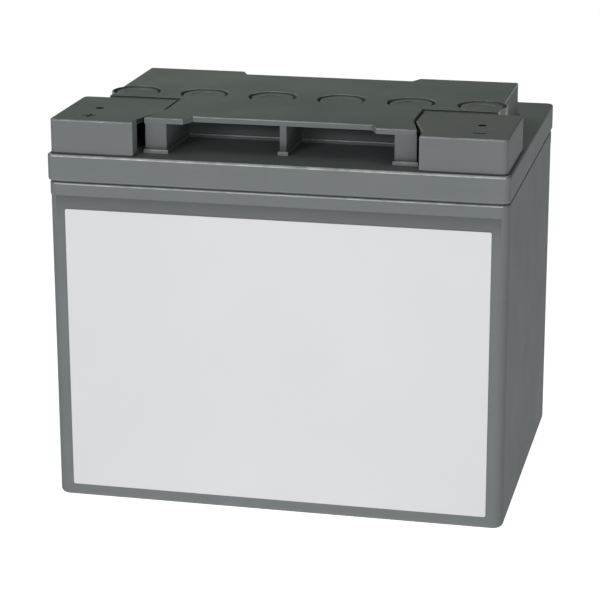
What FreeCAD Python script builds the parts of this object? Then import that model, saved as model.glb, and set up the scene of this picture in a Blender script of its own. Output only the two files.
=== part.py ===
import FreeCAD, Part
import os
from types import SimpleNamespace

import Sketcher
from FreeCAD import Vector

# A sealed 12 V lead-acid block battery with six cells in a row. The frame has +X along the row
# of cells, the terminals towards -Y and +Z up, with the origin at the bottom centre.

# Driving sizes in millimetres, one sheet cell each
SIZES = {
    # Lid outline, which is the widest part of the block
    "overall_length": 198.0,
    "overall_depth": 149.0,
    # Container: a six-cell box with a proud rim band on its two long sides
    "container_inset": 0.3,
    "container_height": 142.4,
    "container_wall": 3.4,
    "container_floor": 4.0,
    "container_corner": 4.5,
    "foot_radius": 2.3,
    "rim_band": 5.5,
    "rim_edge": 0.7,
    "panel_depth": 1.0,
    "partition_wall": 1.8,
    "tongue_height": 5.1,
    "tongue_wall": 1.8,
    "tongue_corner": 3.0,
    # Lid: a tray that drops over the container's tongue
    "joint_gap": 0.7,
    "seal_clearance": 0.15,
    "lid_height": 11.6,
    "lid_corner": 3.2,
    "lid_edge": 1.0,
    "deck_thickness": 3.1,
    "plinth_height": 1.7,
    "plinth_margin": 0.8,
    "plinth_edge": 0.5,
    # Top cover: the lifting bar welded onto the lid, with finger bays front and back
    "cover_rise": 15.4,
    "plate_thickness": 2.4,
    "cover_wall": 2.4,
    "front_setback": 10.1,
    "back_setback": 31.9,
    "end_setback": 12.7,
    "bay_depth": 35.3,
    "lip_setback": 6.2,
    "lip_slant": 2.8,
    "flange_reach": 7.6,
    "leg_width": 9.35,
    "leg_setback": 1.4,
    "neck_step": 4.65,
    "neck_depth": 19.2,
    "notch_margin": 1.5,
    "end_corner": 0.9,
    "back_corner": 1.2,
    "plate_edge": 0.4,
    "rib_thickness": 3.0,
    "rib_setback": 2.2,
    # Vents: one plug and one rubber valve for each cell
    "vent_draw": 1.1,
    "vent_offset": 0.5,
    "recess_radius": 10.6,
    "socket_wall": 0.8,
    "groove_depth": 1.8,
    "groove_width": 1.35,
    "plug_flange": 1.6,
    "plug_drop": 0.5,
    "plug_clearance": 0.15,
    "dish_radius": 5.5,
    "dish_depth": 0.25,
    "stem_radius": 7.0,
    "valve_room_radius": 7.8,
    "tube_height": 3.2,
    "tube_radius": 4.5,
    "tube_bore_radius": 2.0,
    "valve_wall": 1.6,
    "valve_skirt": 2.6,
    "valve_crown": 1.5,
    "valve_clearance": 0.05,
    # Terminal covers: open caps that drop over the two front corners
    "cap_inset": 1.5,
    "cap_width": 36.6,
    "cap_wall": 2.0,
    "cap_gap": 1.0,
    "cap_lift": 0.7,
    "cap_drop": 0.5,
    "cap_corner": 2.4,
    "cap_edge": 0.6,
    "cable_gap": 2.6,
    "probe_radius": 1.7,
    "kerb_margin": 1.2,
    "island_rise": 0.6,
    "island_clearance": 0.2,
    # Terminals: brass inserts for an M6 screw, each on a flat gasket
    "terminal_inset": 14.4,
    "terminal_setback": 25.6,
    "boss_height": 2.0,
    "boss_radius": 11.0,
    "gasket_thickness": 0.8,
    "gasket_radius": 8.6,
    "flange_thickness": 1.6,
    "flange_radius": 9.0,
    "shank_radius": 6.0,
    "shank_clearance": 0.1,
    "shank_length": 12.5,
    "thread_core_radius": 2.5,
    "thread_depth": 9.0,
    # Plate stacks in the cells
    "positive_thickness": 2.6,
    "negative_thickness": 2.0,
    "plate_play": 3.8,
    "head_room": 20.4,
    "lug_width": 12.0,
    "lug_height": 7.0,
    "strap_width": 16.0,
    "strap_height": 6.0,
    "riser_thickness": 6.0,
    "riser_height": 16.0,
    "weld_radius": 4.5,
    "weld_height": 10.0,
    "separator_play": 1.8,
    "separator_rise": 3.0,
    # Blank label on the front wall
    "label_side_margin": 7.1,
    "label_top_margin": 6.1,
    "label_bottom": 5.6,
    "label_thickness": 0.25,
    "label_corner": 0.8,
}

CELLS = 6
POSITIVE_PLATES = 4
NEGATIVE_PLATES = POSITIVE_PLATES + 1
SEPARATOR_LAYERS = 2 * POSITIVE_PLATES
FRONT = -1
BACK = 1
TOUCH = 1e-4


class Size:
    """A length: its value now and the sheet formula that gives it."""

    def __init__(self, value, text):
        self.value = value
        self.text = text

    def join(self, other, sign, value):
        return Size(value, f"({self.text} {sign} {as_size(other).text})")

    def __add__(self, other):
        return self.join(other, "+", self.value + as_size(other).value)

    def __sub__(self, other):
        return self.join(other, "-", self.value - as_size(other).value)

    def __mul__(self, other):
        return self.join(other, "*", self.value * as_size(other).value)

    def __truediv__(self, other):
        return self.join(other, "/", self.value / as_size(other).value)

    def __neg__(self):
        return Size(-self.value, f"(-1 * {self.text})")


def as_size(number):
    """A plain number as a size, so that both can stand in one sum."""
    if isinstance(number, Size):
        return number
    return Size(float(number), f"({float(number)!r})")


doc = FreeCAD.newDocument("lead_acid_block")
sheet = doc.addObject("Spreadsheet::Sheet", "sizes")
for row, (alias, number) in enumerate(SIZES.items(), start=1):
    sheet.set(f"A{row}", alias)
    sheet.set(f"B{row}", str(number))
    sheet.setAlias(f"B{row}", alias)
doc.recompute()
s = SimpleNamespace(**{alias: Size(number, f"sizes.{alias}") for alias, number in SIZES.items()})

# Levels and places worked out from the driving sizes
half_length = s.overall_length / 2
half_depth = s.overall_depth / 2

container_x = half_length - s.container_inset
container_y = half_depth - s.container_inset
wall_y = container_y - s.panel_depth
inner_x = container_x - s.container_wall
inner_y = container_y - s.container_wall
tongue_x = inner_x + s.tongue_wall
tongue_y = inner_y + s.tongue_wall
rim_bottom = s.container_height - s.rim_band
tongue_top = s.container_height + s.tongue_height
cell_pitch = (inner_x * 2 + s.partition_wall) / CELLS
cell_width = cell_pitch - s.partition_wall

lid_bottom = s.container_height + s.joint_gap
deck = lid_bottom + s.lid_height
deck_under = deck - s.deck_thickness
plinth_top = deck + s.plinth_height
crown_top = deck + s.cover_rise
plate_under = crown_top - s.plate_thickness

cap_out = half_length - s.cap_inset
cap_in = cap_out - s.cap_width
cap_front = s.cap_inset - half_depth
cap_bottom = deck + s.cap_lift
cap_top = crown_top - s.cap_drop

flange_y = s.front_setback - half_depth
lip_y = flange_y + s.lip_setback
rib_front_y = lip_y + s.rib_setback
bay_wall_y = flange_y + s.bay_depth
neck_y = flange_y + s.neck_depth
back_y = half_depth - s.back_setback
back_lip_y = back_y - s.lip_setback
rib_back_y = back_lip_y - s.rib_setback
back_wall_y = back_y - s.bay_depth
vent_pitch = cell_pitch - s.vent_draw
vent_y = (bay_wall_y + back_wall_y) / 2 + s.vent_offset
socket_radius = s.recess_radius + s.socket_wall
notch_y = vent_y - socket_radius - s.notch_margin
end_x = half_length - s.end_setback
leg_out = cap_in - s.cable_gap
leg_in = leg_out - s.leg_width
flange_in = leg_in - s.flange_reach
lip_x = flange_in - s.lip_slant
neck_x = leg_out - s.neck_step
leg_front_y = flange_y + s.leg_setback

cap_neck_x = neck_x + s.cap_gap
cap_bend_y = flange_y - s.cap_gap * 2
cap_back = notch_y - s.cap_gap

groove_floor = crown_top - s.groove_depth
plug_seat = groove_floor - s.plug_flange
plug_top = crown_top - s.plug_drop
dish_floor = plug_top - s.dish_depth
tube_top = plinth_top + s.tube_height
valve_top = tube_top + s.valve_crown

terminal_x = cap_out - s.terminal_inset
terminal_y = cap_front + s.terminal_setback
boss_top = deck + s.boss_height
gasket_top = boss_top + s.gasket_thickness
terminal_top = gasket_top + s.flange_thickness
terminal_bottom = gasket_top - s.shank_length

plate_top = s.container_height - s.head_room
strap_bottom = plate_top + s.lug_height
strap_top = strap_bottom + s.strap_height
riser_top = strap_bottom + s.riser_height
weld_z = strap_bottom + s.weld_height
stack_metal = s.positive_thickness * POSITIVE_PLATES + s.negative_thickness * NEGATIVE_PLATES
separator_thickness = (cell_width - stack_metal) / SEPARATOR_LAYERS
plate_step = s.positive_thickness + s.negative_thickness + separator_thickness * 2

parts = []


def bind(feature, **sizes):
    """Set sizes of a feature and tie them to the sheet."""
    for name, size in sizes.items():
        setattr(feature, name, size.value)
        feature.setExpression(name, size.text)


def new_body(label):
    """A body for one piece, whose label names its file."""
    body = doc.addObject("PartDesign::Body", label)
    body.Label = label
    parts.append(body)
    return body


def place(piece, x=None, y=None, z=None):
    """Tie a piece's position to the sheet."""
    for axis, size in (("x", x), ("y", y), ("z", z)):
        if size is not None:
            piece.setExpression(f"Placement.Base.{axis}", size.text)


def plane(body, role):
    """One of the body's own origin planes."""
    return [feature for feature in body.Origin.OriginFeatures if feature.Role == role][0]


def new_sketch(body, name, role, offset):
    """An empty sketch on an origin plane, moved along the plane's normal."""
    sketch = body.newObject("Sketcher::SketchObject", name)
    sketch.AttachmentSupport = [(plane(body, role), "")]
    sketch.MapMode = "FlatFace"
    if offset is not None:
        sketch.AttachmentOffset = FreeCAD.Placement(Vector(0, 0, offset.value), FreeCAD.Rotation())
        sketch.setExpression("AttachmentOffset.Base.z", offset.text)
    return sketch


def draw_outline(sketch, corners):
    """Add a closed run of straight lines, each corner tied to the sheet."""
    first = sketch.GeometryCount
    count = len(corners)
    points = [Vector(x.value, y.value, 0) for x, y in corners]
    sketch.addGeometry([Part.LineSegment(points[i], points[(i + 1) % count]) for i in range(count)])
    ties = []
    for i in range(count):
        ties.append(Sketcher.Constraint("Coincident", first + i, 2, first + (i + 1) % count, 1))
    sketch.addConstraint(ties)
    for i, (x, y) in enumerate(corners):
        for kind, size in (("DistanceX", x), ("DistanceY", y)):
            index = sketch.addConstraint(Sketcher.Constraint(kind, -1, 1, first + i, 1, size.value))
            sketch.setExpression(f"Constraints[{index}]", size.text)


def outline(body, name, corners, level=None, role="XY_Plane"):
    """A sketch with one closed outline."""
    sketch = new_sketch(body, name, role, level)
    draw_outline(sketch, corners)
    return sketch


def rectangle(x_low, x_high, y_low, y_high):
    """Corners of a rectangle, anticlockwise."""
    return [(x_low, y_low), (x_high, y_low), (x_high, y_high), (x_low, y_high)]


def centred(x_half, y_half):
    """Corners of a rectangle about the origin."""
    return rectangle(-x_half, x_half, -y_half, y_half)


def mirrored(corners):
    """A right-hand run of corners closed by its mirror image across the YZ plane."""
    return corners + [(-x, y) for x, y in reversed(corners)]


def circle(body, name, x, y, radius, level=None, role="XY_Plane"):
    """A sketch with one circle."""
    sketch = new_sketch(body, name, role, level)
    sketch.addGeometry(Part.Circle(Vector(x.value, y.value, 0), Vector(0, 0, 1), radius.value))
    for kind, size in (("DistanceX", x), ("DistanceY", y)):
        index = sketch.addConstraint(Sketcher.Constraint(kind, -1, 1, 0, 3, size.value))
        sketch.setExpression(f"Constraints[{index}]", size.text)
    index = sketch.addConstraint(Sketcher.Constraint("Radius", 0, radius.value))
    sketch.setExpression(f"Constraints[{index}]", radius.text)
    return sketch


def pad(body, sketch, length):
    """Raise a sketch along its normal."""
    feature = body.newObject("PartDesign::Pad", f"{sketch.Name}_pad")
    feature.Profile = sketch
    bind(feature, Length=length)
    sketch.Visibility = False
    return feature


def pocket(body, sketch, length, upward=False):
    """Cut a sketch into the body, downwards unless told otherwise, and check that it cut."""
    doc.recompute()
    before = body.Shape.Volume
    feature = body.newObject("PartDesign::Pocket", f"{sketch.Name}_pocket")
    feature.Profile = sketch
    feature.Reversed = upward
    bind(feature, Length=length)
    sketch.Visibility = False
    doc.recompute()
    if not body.Shape.Volume < before:
        raise RuntimeError(f"{feature.Name} cut nothing")
    return feature


def revolve(body, corners):
    """Turn a profile of radius and height about the body's own vertical axis."""
    profile = outline(body, f"{body.Name}_profile", corners, role="XZ_Plane")
    feature = body.newObject("PartDesign::Revolution", f"{body.Name}_turned")
    feature.Profile = profile
    feature.ReferenceAxis = (profile, ["V_Axis"])
    feature.Angle = 360.0
    return feature


def in_a_row(body, features, sketch, count, length):
    """Repeat features along X, the last one at the given distance."""
    feature = body.newObject("PartDesign::LinearPattern", f"{features[0].Name}_row")
    feature.Originals = features
    feature.Direction = (sketch, ["H_Axis"])
    feature.Occurrences = count
    bind(feature, Length=length)
    body.Tip = feature
    return feature


def both_sides(body, features):
    """Repeat features across the YZ plane."""
    feature = body.newObject("PartDesign::Mirrored", f"{features[0].Name}_mirror")
    feature.Originals = features
    feature.MirrorPlane = (plane(body, "YZ_Plane"), [""])
    body.Tip = feature
    return feature


def soften(body, name, radius, wanted):
    """Round every edge of the body for which the test holds."""
    doc.recompute()
    base = body.Tip
    names = [f"Edge{i}" for i, edge in enumerate(base.Shape.Edges, start=1) if wanted(edge)]
    feature = body.newObject("PartDesign::Fillet", name)
    feature.Base = (base, names)
    bind(feature, Radius=radius)
    doc.recompute()
    return feature


def near(value, size):
    """True where a coordinate is at a size."""
    return abs(value - size.value) < TOUCH


def upright(edge, x=None, y=None):
    """True for a vertical straight edge, at |x| and at y if they are given."""
    box = edge.BoundBox
    if box.XLength > TOUCH or box.YLength > TOUCH:
        return False
    return (x is None or near(abs(box.XMin), x)) and (y is None or near(box.YMin, y))


def at_level(edge, z):
    """True for an edge that lies flat at a height."""
    return near(edge.BoundBox.ZMin, z) and near(edge.BoundBox.ZMax, z)


def on_rim(edge, x_half, y_half, corner):
    """True for an edge along a rectangle about the axis or round one of its corners."""
    box = edge.BoundBox
    far_x = max(abs(box.XMin), abs(box.XMax))
    far_y = max(abs(box.YMin), abs(box.YMax))
    along_x = near(far_y, y_half) and box.YLength < corner.value + TOUCH
    along_y = near(far_x, x_half) and box.XLength < corner.value + TOUCH
    return along_x or along_y


def cell_x(cell):
    """Middle of a cell along the row, cells counted from the left."""
    return cell_pitch * (cell - (CELLS - 1) / 2)


def vent_x(cell):
    """Axis of a cell's vent along the row."""
    return vent_pitch * (cell - (CELLS - 1) / 2)


def bar_outline(margin):
    """Foot of the top cover's walls, widened all round by a margin."""
    return mirrored([
        (leg_in - margin, bay_wall_y - margin),
        (leg_in - margin, leg_front_y - margin),
        (leg_out + margin, leg_front_y - margin),
        (neck_x + margin, neck_y - margin),
        (neck_x + margin, notch_y - margin),
        (end_x + margin, notch_y - margin),
        (end_x + margin, back_y + margin),
        (leg_in - margin, back_y + margin),
        (leg_in - margin, back_wall_y + margin),
    ])


def cap_outline(margin):
    """Plan of the right-hand terminal cover, drawn in by a margin."""
    return [
        (cap_in + margin, cap_front + margin),
        (cap_out - margin, cap_front + margin),
        (cap_out - margin, cap_back - margin),
        (cap_neck_x + margin, cap_back - margin),
        (cap_neck_x + margin, neck_y),
        (cap_in + margin, cap_bend_y),
    ]


def make_container():
    """Box with six cells, a proud rim band front and back, and a tongue for the lid."""
    body = new_body("container")
    walls = outline(body, "container_walls", centred(container_x, wall_y))
    pad(body, walls, s.container_height)
    soften(body, "wall_corners", s.container_corner, upright)
    soften(body, "foot_edges", s.foot_radius, lambda edge: at_level(edge, as_size(0)))

    band = outline(body, "rim_band", centred(container_x, container_y), rim_bottom)
    pad(body, band, s.rim_band)
    soften(body, "band_corners", s.container_corner, lambda edge: upright(edge, container_x, container_y)
           or upright(edge, container_x, -container_y))

    tongue = outline(body, "tongue", centred(tongue_x, tongue_y), s.container_height)
    pad(body, tongue, s.tongue_height)
    soften(body, "tongue_corners", s.tongue_corner, lambda edge: upright(edge, tongue_x)
           and near(abs(edge.BoundBox.YMin), tongue_y))
    soften(body, "rim_edges", s.rim_edge, lambda edge: at_level(edge, s.container_height)
           and on_rim(edge, container_x, container_y, s.container_corner))

    low_x = cell_x(0) - cell_width / 2
    cell = outline(body, "cell", rectangle(low_x, low_x + cell_width, -inner_y, inner_y), tongue_top)
    cut = pocket(body, cell, tongue_top - s.container_floor)
    in_a_row(body, [cut], cell, CELLS, cell_pitch * (CELLS - 1))

    for first, side, count in ((0, BACK, 3), (1, FRONT, 2)):
        hole_y = terminal_y * -side
        face = cell_x(first) + cell_width / 2
        hole = circle(body, f"weld_hole_{first}", hole_y, weld_z, s.weld_radius, face, "YZ_Plane")
        cut = pocket(body, hole, s.partition_wall, upward=True)
        in_a_row(body, [cut], cell, count, cell_pitch * 2 * (count - 1))


def make_lid():
    """Tray over the container's tongue, with the plinth, valve tubes and terminal bosses on its deck."""
    body = new_body("lid")
    block = outline(body, "lid_block", centred(half_length, half_depth), lid_bottom)
    pad(body, block, s.lid_height)
    soften(body, "lid_corners", s.lid_corner, upright)

    seat = outline(body, "seat", centred(tongue_x + s.seal_clearance, tongue_y + s.seal_clearance), lid_bottom)
    pocket(body, seat, tongue_top - lid_bottom, upward=True)
    soften(body, "seat_corners", s.tongue_corner + s.seal_clearance,
           lambda edge: upright(edge, tongue_x + s.seal_clearance))
    low_x = cell_x(0) - cell_width / 2
    cell = outline(body, "cell_roof", rectangle(low_x, low_x + cell_width, -inner_y, inner_y), tongue_top)
    cut = pocket(body, cell, deck_under - tongue_top, upward=True)
    in_a_row(body, [cut], cell, CELLS, cell_pitch * (CELLS - 1))
    soften(body, "lid_edges", s.lid_edge, lambda edge: at_level(edge, deck)
           or (at_level(edge, lid_bottom) and on_rim(edge, half_length, half_depth, s.lid_corner)))

    plinth = outline(body, "plinth", bar_outline(s.plinth_margin), deck)
    pad(body, plinth, s.plinth_height)
    foot_x = s.rib_thickness / 2 + s.plinth_margin
    front = outline(body, "front_rib_foot",
                    rectangle(-foot_x, foot_x, rib_front_y - s.plinth_margin, bay_wall_y), deck)
    pad(body, front, s.plinth_height)
    rear = outline(body, "back_rib_foot",
                   rectangle(-foot_x, foot_x, back_wall_y, rib_back_y + s.plinth_margin), deck)
    pad(body, rear, s.plinth_height)
    soften(body, "plinth_edges", s.plinth_edge, lambda edge: at_level(edge, plinth_top))

    kerb = outline(body, "kerb", cap_outline(s.kerb_margin), deck)
    kerb_pad = pad(body, kerb, s.cap_lift)
    island = outline(body, "island", cap_outline(s.cap_wall + s.island_clearance), cap_bottom)
    island_pad = pad(body, island, s.island_rise)
    boss = circle(body, "boss", terminal_x, terminal_y, s.boss_radius, deck)
    boss_pad = pad(body, boss, s.boss_height)
    both_sides(body, [kerb_pad, island_pad, boss_pad])
    bore = circle(body, "terminal_bore", terminal_x, terminal_y, s.shank_radius + s.shank_clearance, boss_top)
    cut = pocket(body, bore, boss_top - deck_under)
    both_sides(body, [cut])

    tube = circle(body, "valve_tube", vent_x(0), vent_y, s.tube_radius, plinth_top)
    in_a_row(body, [pad(body, tube, s.tube_height)], tube, CELLS, vent_pitch * (CELLS - 1))
    gas = circle(body, "gas_bore", vent_x(0), vent_y, s.tube_bore_radius, tube_top)
    cut = pocket(body, gas, tube_top - deck_under)
    in_a_row(body, [cut], gas, CELLS, vent_pitch * (CELLS - 1))


def make_top_cover():
    """Lifting bar: walls, legs and ribs under a plate whose lips overhang the finger bays."""
    body = new_body("top_cover")
    walls = outline(body, "bar_walls", bar_outline(as_size(0)), plinth_top)
    pad(body, walls, plate_under - plinth_top)
    wall = s.cover_wall
    room = outline(body, "valve_chamber", mirrored([
        (neck_x - wall, bay_wall_y + wall),
        (neck_x - wall, notch_y + wall),
        (end_x - wall, notch_y + wall),
        (end_x - wall, back_y - wall),
        (leg_in + wall, back_y - wall),
        (leg_in + wall, back_wall_y - wall),
    ]), plinth_top)
    pocket(body, room, plate_under - plinth_top, upward=True)

    plate = outline(body, "plate", mirrored([
        (lip_x, lip_y),
        (flange_in, flange_y),
        (leg_out, flange_y),
        (leg_out, leg_front_y),
        (neck_x, neck_y),
        (neck_x, notch_y),
        (end_x, notch_y),
        (end_x, back_y),
        (flange_in, back_y),
        (lip_x, back_lip_y),
    ]), plate_under)
    pad(body, plate, s.plate_thickness)

    rib_x = s.rib_thickness / 2
    inside = wall / 2
    front = outline(body, "front_rib",
                    rectangle(-rib_x, rib_x, rib_front_y, bay_wall_y + inside), plinth_top)
    pad(body, front, plate_under - plinth_top)
    rear = outline(body, "back_rib",
                   rectangle(-rib_x, rib_x, back_wall_y - inside, rib_back_y), plinth_top)
    pad(body, rear, plate_under - plinth_top)
    soften(body, "end_corners", s.end_corner, lambda edge: upright(edge, end_x, notch_y))
    soften(body, "back_corners", s.back_corner, lambda edge: upright(edge, end_x, back_y))

    socket = circle(body, "vent_socket", vent_x(0), vent_y, socket_radius, plinth_top)
    length = vent_pitch * (CELLS - 1)
    in_a_row(body, [pad(body, socket, crown_top - plinth_top)], socket, CELLS, length)
    soften(body, "plate_edges", s.plate_edge, lambda edge: at_level(edge, crown_top))
    room = circle(body, "valve_room", vent_x(0), vent_y, s.valve_room_radius, plinth_top)
    room_cut = pocket(body, room, plug_seat - plinth_top, upward=True)
    in_a_row(body, [room_cut], room, CELLS, length)
    recess = circle(body, "vent_recess", vent_x(0), vent_y, s.recess_radius, crown_top)
    recess_cut = pocket(body, recess, crown_top - plug_seat)
    in_a_row(body, [recess_cut], recess, CELLS, length)


def make_terminal_cover(label, side):
    """Cap over one terminal, open below and towards the cable gap beside the leg."""
    body = new_body(label)

    def facing(corners):
        """The corners on the cap's own side of the block."""
        return [(x * side, y) for x, y in corners]

    shell = outline(body, f"{label}_shell", facing(cap_outline(as_size(0))), cap_bottom)
    pad(body, shell, cap_top - cap_bottom)
    soften(body, f"{label}_corners", s.cap_corner, lambda edge: upright(edge, cap_out))
    soften(body, f"{label}_edges", s.cap_edge, lambda edge: at_level(edge, cap_top))
    wall = s.cap_wall
    hollow = outline(body, f"{label}_hollow", facing([
        (cap_in + wall, cap_front + wall),
        (cap_out - wall, cap_front + wall),
        (cap_out - wall, cap_back - wall),
        (cap_neck_x + wall, cap_back - wall),
        (cap_neck_x + wall, neck_y),
        (neck_x, neck_y),
        (neck_x, cap_bend_y),
        (cap_in + wall, cap_bend_y),
    ]), cap_bottom)
    pocket(body, hollow, cap_top - cap_bottom - wall, upward=True)
    probe = circle(body, f"{label}_probe_hole", terminal_x * side, terminal_y, s.probe_radius, cap_top)
    pocket(body, probe, wall)


def make_vent_plug(cell):
    """Round plug with a groove round its dished top and a stem that holds the valve down."""
    body = new_body(f"vent_plug_{cell + 1}")
    rim = s.recess_radius - s.plug_clearance
    disc = s.recess_radius - s.groove_width
    centre = as_size(0)
    revolve(body, [
        (centre, valve_top),
        (s.stem_radius, valve_top),
        (s.stem_radius, plug_seat),
        (rim, plug_seat),
        (rim, groove_floor),
        (disc, groove_floor),
        (disc, plug_top),
        (s.dish_radius, plug_top),
        (s.dish_radius, dish_floor),
        (centre, dish_floor),
    ])
    place(body, vent_x(cell), vent_y)


def make_relief_valve(cell):
    """Rubber cap over a valve tube, which lets gas out under its skirt."""
    body = new_body(f"relief_valve_{cell + 1}")
    inside = s.tube_radius + s.valve_clearance
    outside = inside + s.valve_wall
    skirt = tube_top - s.valve_skirt
    centre = as_size(0)
    revolve(body, [
        (inside, skirt),
        (outside, skirt),
        (outside, valve_top),
        (centre, valve_top),
        (centre, tube_top),
        (inside, tube_top),
    ])
    place(body, vent_x(cell), vent_y)


def make_terminal(label, side):
    """Brass insert with a flange on the gasket and a blind hole for the terminal screw."""
    body = new_body(label)
    centre = as_size(0)
    hole_bottom = terminal_top - s.thread_depth
    revolve(body, [
        (centre, terminal_bottom),
        (s.shank_radius, terminal_bottom),
        (s.shank_radius, gasket_top),
        (s.flange_radius, gasket_top),
        (s.flange_radius, terminal_top),
        (s.thread_core_radius, terminal_top),
        (s.thread_core_radius, hole_bottom),
        (centre, hole_bottom),
    ])
    place(body, terminal_x * side, terminal_y)


def make_gasket(label, side):
    """Flat rubber ring between a terminal flange and its boss."""
    body = new_body(label)
    inside = s.shank_radius + s.shank_clearance
    revolve(body, [
        (inside, boss_top),
        (s.gasket_radius, boss_top),
        (s.gasket_radius, gasket_top),
        (inside, gasket_top),
    ])
    place(body, terminal_x * side, terminal_y)


def make_plate_group(label, cell, count, thickness, first_x, bottom, side, riser):
    """Plates of one polarity cast into a strap, with a riser to the next cell or a terminal post."""
    body = new_body(label)
    strap_y = terminal_y * -side
    half_strap = s.strap_width / 2
    run = plate_step * (count - 1)
    strap = outline(body, f"{label}_strap",
                    rectangle(first_x, first_x + run + thickness, strap_y - half_strap, strap_y + half_strap),
                    strap_bottom)
    pad(body, strap, s.strap_height)
    half_lug = s.lug_width / 2
    lug = outline(body, f"{label}_lug",
                  rectangle(first_x, first_x + thickness, strap_y - half_lug, strap_y + half_lug), plate_top)
    in_a_row(body, [pad(body, lug, s.lug_height)], lug, count, run)
    half_plate = inner_y - s.plate_play
    plate = outline(body, f"{label}_plate",
                    rectangle(first_x, first_x + thickness, -half_plate, half_plate), bottom)
    in_a_row(body, [pad(body, plate, plate_top - bottom)], plate, count, run)
    if riser is None:
        post = circle(body, f"{label}_post", terminal_x * (-1 if cell == 0 else 1), strap_y,
                      s.shank_radius, strap_bottom)
        pad(body, post, terminal_bottom - strap_bottom)
    else:
        inner, outer = riser
        block = outline(body, f"{label}_riser",
                        rectangle(inner, outer, strap_y - half_lug, strap_y + half_lug), strap_bottom)
        pad(body, block, s.riser_height)


def make_cell(cell):
    """Plate groups and separators of one cell, wired in series through the partitions."""
    left = cell_x(cell) - cell_width / 2
    right = left + cell_width
    positive_side = FRONT if cell % 2 == 0 else BACK
    positive_x = left + s.negative_thickness + separator_thickness
    positive_riser = None if cell == 0 else (left, left + s.riser_thickness)
    negative_riser = None if cell == CELLS - 1 else (right - s.riser_thickness, right)
    make_plate_group(f"positive_plates_{cell + 1}", cell, POSITIVE_PLATES, s.positive_thickness, positive_x,
                     s.container_floor + separator_thickness, positive_side, positive_riser)
    make_plate_group(f"negative_plates_{cell + 1}", cell, NEGATIVE_PLATES, s.negative_thickness, left,
                     s.container_floor, -positive_side, negative_riser)
    make_separators(f"separators_{cell + 1}", left + s.negative_thickness)


def make_separators(label, first_x):
    """Glass-mat wraps, each a folded sheet under and beside one positive plate."""
    folds = doc.addObject("Sketcher::SketchObject", f"{label}_folds")
    folds.Placement = FreeCAD.Placement(Vector(0, 0, 0), FreeCAD.Rotation(Vector(1, 0, 0), 90))
    mat = separator_thickness
    floor = s.container_floor
    top = plate_top + s.separator_rise
    for plate in range(POSITIVE_PLATES):
        x = first_x + plate_step * plate
        slot = x + mat
        slot_end = slot + s.positive_thickness
        draw_outline(folds, [
            (x, floor), (slot_end + mat, floor), (slot_end + mat, top), (slot_end, top),
            (slot_end, floor + mat), (slot, floor + mat), (slot, top), (x, top),
        ])
    sheets = doc.addObject("Part::Extrusion", label)
    sheets.Label = label
    sheets.Base = folds
    sheets.DirMode = "Custom"
    sheets.Dir = Vector(0, 1, 0)
    sheets.Solid = True
    sheets.Symmetric = True
    bind(sheets, LengthFwd=(inner_y - s.separator_play) * 2)
    parts.append(sheets)


def make_weld(joint):
    """Lead joint through one partition, between the risers of two cells."""
    weld = doc.addObject("Part::Cylinder", f"intercell_weld_{joint + 1}")
    weld.Label = f"intercell_weld_{joint + 1}"
    bind(weld, Radius=s.weld_radius, Height=s.partition_wall)
    weld.Placement = FreeCAD.Placement(Vector(0, 0, 0), FreeCAD.Rotation(Vector(0, 1, 0), 90))
    side = BACK if joint % 2 == 0 else FRONT
    place(weld, cell_x(joint) + cell_width / 2, terminal_y * -side, weld_z)
    parts.append(weld)


def make_label():
    """Blank sheet on the front wall below the rim band."""
    body = new_body("front_label")
    half_width = container_x - s.label_side_margin
    top = rim_bottom - s.label_top_margin
    face = outline(body, "label_face", rectangle(-half_width, half_width, s.label_bottom, top),
                   wall_y, "XZ_Plane")
    pad(body, face, s.label_thickness)
    soften(body, "label_corners", s.label_corner,
           lambda edge: edge.BoundBox.XLength < TOUCH and edge.BoundBox.ZLength < TOUCH)


make_container()
make_lid()
make_top_cover()
make_label()
make_terminal_cover("terminal_cover_positive", -1)
make_terminal_cover("terminal_cover_negative", 1)
for cell_number in range(CELLS):
    make_vent_plug(cell_number)
    make_relief_valve(cell_number)
    make_cell(cell_number)
for joint_number in range(CELLS - 1):
    make_weld(joint_number)
make_terminal("positive_terminal", -1)
make_terminal("negative_terminal", 1)
make_gasket("positive_gasket", -1)
make_gasket("negative_gasket", 1)
doc.recompute()

failed = [item.Name for item in doc.Objects if "Invalid" in item.State or "Error" in item.State]
for piece in parts:
    if piece.Shape.isNull() or not piece.Shape.isValid() or not piece.Shape.Solids:
        failed.append(piece.Label)
if failed:
    raise RuntimeError("these did not build: " + ", ".join(failed))

os.makedirs("parts", exist_ok=True)
for piece in parts:
    piece.Shape.exportStep(f"parts/{piece.Label}.step")
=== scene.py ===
"""Dresses a sealed six-cell block battery: moulded case, lifting bar, terminal caps, label and studio."""

import logging
import math
from abc import ABC, abstractmethod
from collections.abc import Iterable, Mapping
from dataclasses import dataclass, field
from enum import Enum
from typing import Any

import bmesh
import bpy
from mathutils import Matrix, Vector


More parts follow.
